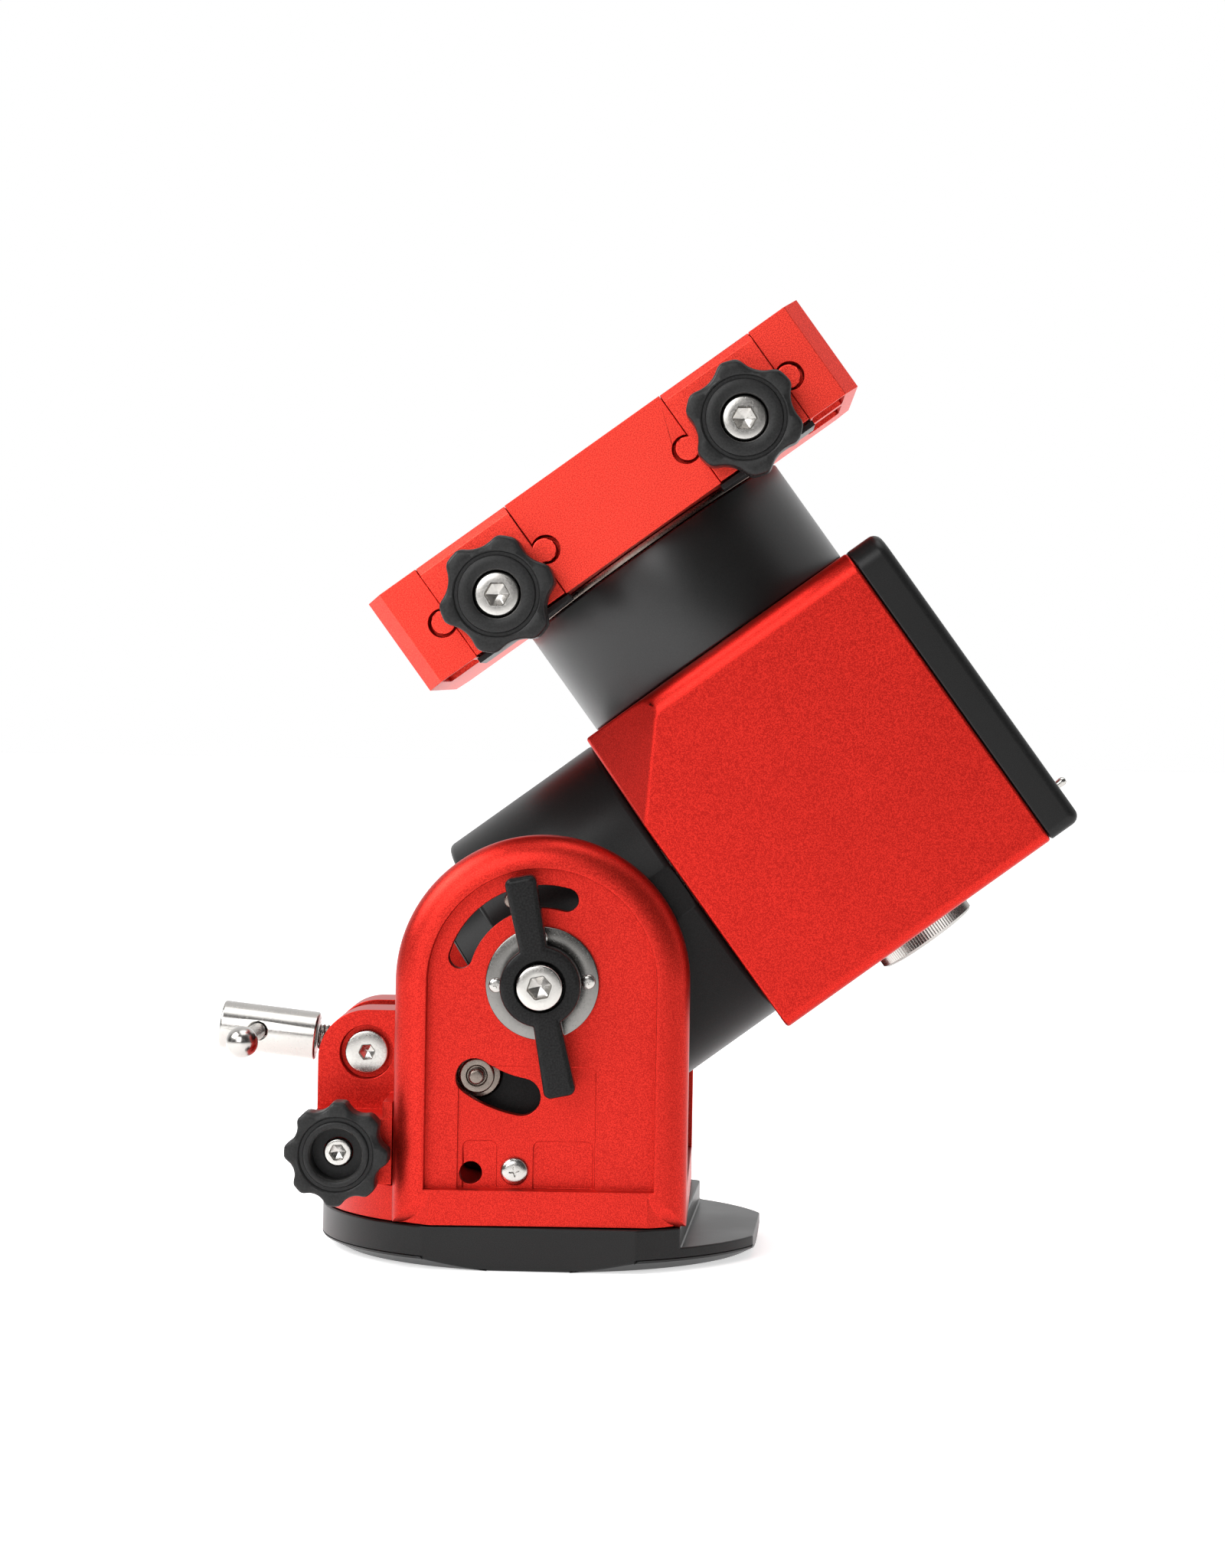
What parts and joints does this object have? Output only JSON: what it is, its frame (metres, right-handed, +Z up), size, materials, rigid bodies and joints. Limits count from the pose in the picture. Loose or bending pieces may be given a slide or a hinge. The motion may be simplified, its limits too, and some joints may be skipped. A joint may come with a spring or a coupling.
{
  "type": "equatorial mount",
  "caption": "Strain-wave equatorial mount: fork base with latitude and azimuth adjusters, tilted polar drive, square drive head and a dovetail saddle.",
  "frame": {"origin": "centre of the base plate's underside", "axes": "+Z up, +X towards the drive head, +Y away from the side with the clamp knobs"},
  "size_m": [0.2531, 0.1465, 0.2802],
  "materials": {
    "red_anodised": "fine bead-blasted red anodising",
    "black_anodised": "satin black anodising",
    "black_plastic": "moulded black plastic with a fine grain",
    "stainless": "turned and brushed stainless steel",
    "dark_steel": "oiled steel",
    "circuit_green": "green solder mask"
  },
  "bodies": {
    "base": {"base_plate": "black_anodised", "azimuth_hub": "black_anodised", "azimuth_post": "stainless", "azimuth_clamp_bolt_near": "stainless", "azimuth_clamp_bolt_far": "stainless"},
    "fork_body": {"fork": "red_anodised", "adjuster_bracket": "red_anodised", "panel_screw_near": "stainless", "panel_screw_far": "stainless", "ear_screw_near": "stainless", "ear_screw_far": "stainless", "clamp_disc_near": "stainless", "clamp_disc_far": "stainless"},
    "near_azimuth_pad": {"azimuth_pad_near": "dark_steel"},
    "near_azimuth_knob": {"azimuth_screw_near": "stainless", "azimuth_knob_near": "black_plastic"},
    "far_azimuth_pad": {"azimuth_pad_far": "dark_steel"},
    "far_azimuth_knob": {"azimuth_screw_far": "stainless", "azimuth_knob_far": "black_plastic"},
    "near_lever": {"clamp_lever_near": "black_plastic", "clamp_screw_near": "stainless"},
    "far_lever": {"clamp_lever_far": "black_plastic", "clamp_screw_far": "stainless"},
    "pivot_block_body": {"pivot_block": "dark_steel"},
    "altitude_body": {"rear_frame": "black_anodised", "ra_housing": "black_anodised", "altitude_stub_near": "stainless", "altitude_stub_far": "stainless", "latitude_limit_pin": "dark_steel", "ra_motor": "dark_steel", "ra_circular_spline": "stainless"},
    "trunnion_body": {"trunnion": "dark_steel"},
    "adjuster": {"adjuster_screw": "stainless", "adjuster_handle": "stainless"},
    "tommy_bar_body": {"tommy_bar": "stainless"},
    "ra_wave_body": {"ra_wave_generator": "stainless"},
    "head": {"head_shell": "red_anodised", "head_cover": "black_anodised", "ra_flexspline": "dark_steel", "dec_housing": "black_anodised", "dec_motor": "dark_steel", "dec_circular_spline": "stainless", "control_board": "circuit_green", "guide_port": "black_plastic", "power_inlet": "black_plastic"},
    "dec_wave_body": {"dec_wave_generator": "stainless"},
    "power_switch_body": {"power_switch": "stainless"},
    "counterweight_cap_body": {"counterweight_cap": "stainless"},
    "saddle": {"dec_flexspline": "dark_steel", "saddle_body": "red_anodised", "jaw_keeper_left": "black_anodised", "jaw_keeper_right": "black_anodised"},
    "left_jaw": {"clamp_jaw_left": "red_anodised"},
    "left_knob": {"clamp_knob_left": "black_plastic", "clamp_knob_screw_left": "stainless"},
    "right_jaw": {"clamp_jaw_right": "red_anodised"},
    "right_knob": {"clamp_knob_right": "black_plastic", "clamp_knob_screw_right": "stainless"}
  },
  "joints": [
    {"name": "azimuth_turn", "type": "hinge", "parent": "base", "child": "fork_body", "pos_m": [0, 0, 0], "axis": [0, 0, 1], "range_deg": [-7.4, 2.6]},
    {"name": "near_azimuth_slide", "type": "slide", "parent": "fork_body", "child": "near_azimuth_pad", "axis": [0, 1, 0], "range_m": [-0.0075, 0.0027]},
    {"name": "far_azimuth_slide", "type": "slide", "parent": "fork_body", "child": "far_azimuth_pad", "axis": [0, 1, 0], "range_m": [-0.0075, 0.0027]},
    {"name": "near_azimuth_spin", "type": "hinge", "parent": "near_azimuth_pad", "child": "near_azimuth_knob", "pos_m": [-0.0575, 0, 0.0332], "axis": [0, 1, 0], "continuous": true},
    {"name": "far_azimuth_spin", "type": "hinge", "parent": "far_azimuth_pad", "child": "far_azimuth_knob", "pos_m": [-0.0575, 0, 0.0332], "axis": [0, 1, 0], "continuous": true},
    {"name": "near_lever_turn", "type": "hinge", "parent": "fork_body", "child": "near_lever", "pos_m": [0, 0, 0.0822], "axis": [0, -1, 0], "range_deg": [-20, 70]},
    {"name": "far_lever_turn", "type": "hinge", "parent": "fork_body", "child": "far_lever", "pos_m": [0, 0, 0.0822], "axis": [0, 1, 0], "range_deg": [-20, 70]},
    {"name": "latitude_tilt", "type": "hinge", "parent": "fork_body", "child": "altitude_body", "pos_m": [0, 0, 0.0822], "axis": [0, -1, 0], "range_deg": [0, 18]},
    {"name": "pivot_block_turn", "type": "hinge", "parent": "fork_body", "child": "pivot_block_body", "pos_m": [-0.0529, 0, 0.0587], "axis": [0, -1, 0], "range_deg": [-5, 0]},
    {"name": "trunnion_turn", "type": "hinge", "parent": "altitude_body", "child": "trunnion_body", "pos_m": [-0.01864, 0, 0.05497], "axis": [0, -1, 0], "range_deg": [-23, 0]},
    {"name": "adjuster_spin", "type": "hinge", "parent": "trunnion_body", "child": "adjuster", "pos_m": [-0.01864, 0, 0.05497], "axis": [-0.9941, 0, 0.1082], "continuous": true},
    {"name": "tommy_bar_slide", "type": "slide", "parent": "adjuster", "child": "tommy_bar_body", "axis": [0, 1, 0], "range_m": [0, 0.028]},
    {"name": "ra_axis", "type": "hinge", "parent": "altitude_body", "child": "head", "pos_m": [0.00047, 0, 0.08156], "axis": [0.8049, 0, 0.5934], "range_deg": [-110, 110]},
    {"name": "ra_wave_spin", "type": "hinge", "parent": "altitude_body", "child": "ra_wave_body", "pos_m": [0.00047, 0, 0.08156], "axis": [0.8049, 0, 0.5934], "range_deg": [-11000, 11000]},
    {"name": "dec_axis", "type": "hinge", "parent": "head", "child": "saddle", "pos_m": [0.07919, 0, 0.13959], "axis": [-0.5934, 0, 0.8049], "continuous": true},
    {"name": "dec_wave_spin", "type": "hinge", "parent": "head", "child": "dec_wave_body", "pos_m": [0.07919, 0, 0.13959], "axis": [-0.5934, 0, 0.8049], "continuous": true},
    {"name": "switch_tilt", "type": "hinge", "parent": "head", "child": "power_switch_body", "pos_m": [0.14751, -0.018, 0.13877], "axis": [-0.5934, 0, 0.8049], "range_deg": [-12, 12]},
    {"name": "counterweight_cap_spin", "type": "hinge", "parent": "head", "child": "counterweight_cap_body", "pos_m": [0.07919, 0, 0.13959], "axis": [-0.5934, 0, 0.8049], "continuous": true},
    {"name": "left_jaw_slide", "type": "slide", "parent": "saddle", "child": "left_jaw", "axis": [0, -1, 0], "range_m": [0, 0.006]},
    {"name": "left_knob_spin", "type": "hinge", "parent": "left_jaw", "child": "left_knob", "pos_m": [-0.01387, 0, 0.19336], "axis": [0, -1, 0], "continuous": true},
    {"name": "right_jaw_slide", "type": "slide", "parent": "saddle", "child": "right_jaw", "axis": [0, -1, 0], "range_m": [0, 0.006]},
    {"name": "right_knob_spin", "type": "hinge", "parent": "right_jaw", "child": "right_knob", "pos_m": [0.05535, 0, 0.24439], "axis": [0, -1, 0], "continuous": true}
  ],
  "couplings": [
    {"joint": "near_azimuth_slide", "follows": "azimuth_turn", "m_per_rad": 0.0575},
    {"joint": "far_azimuth_slide", "follows": "azimuth_turn", "m_per_rad": 0.0575},
    {"joint": "pivot_block_turn", "follows": "latitude_tilt", "ratio": -0.265},
    {"joint": "trunnion_turn", "follows": "latitude_tilt", "ratio": -1.265},
    {"joint": "ra_wave_spin", "follows": "ra_axis", "ratio": -100},
    {"joint": "dec_wave_spin", "follows": "dec_axis", "ratio": -100}
  ]
}
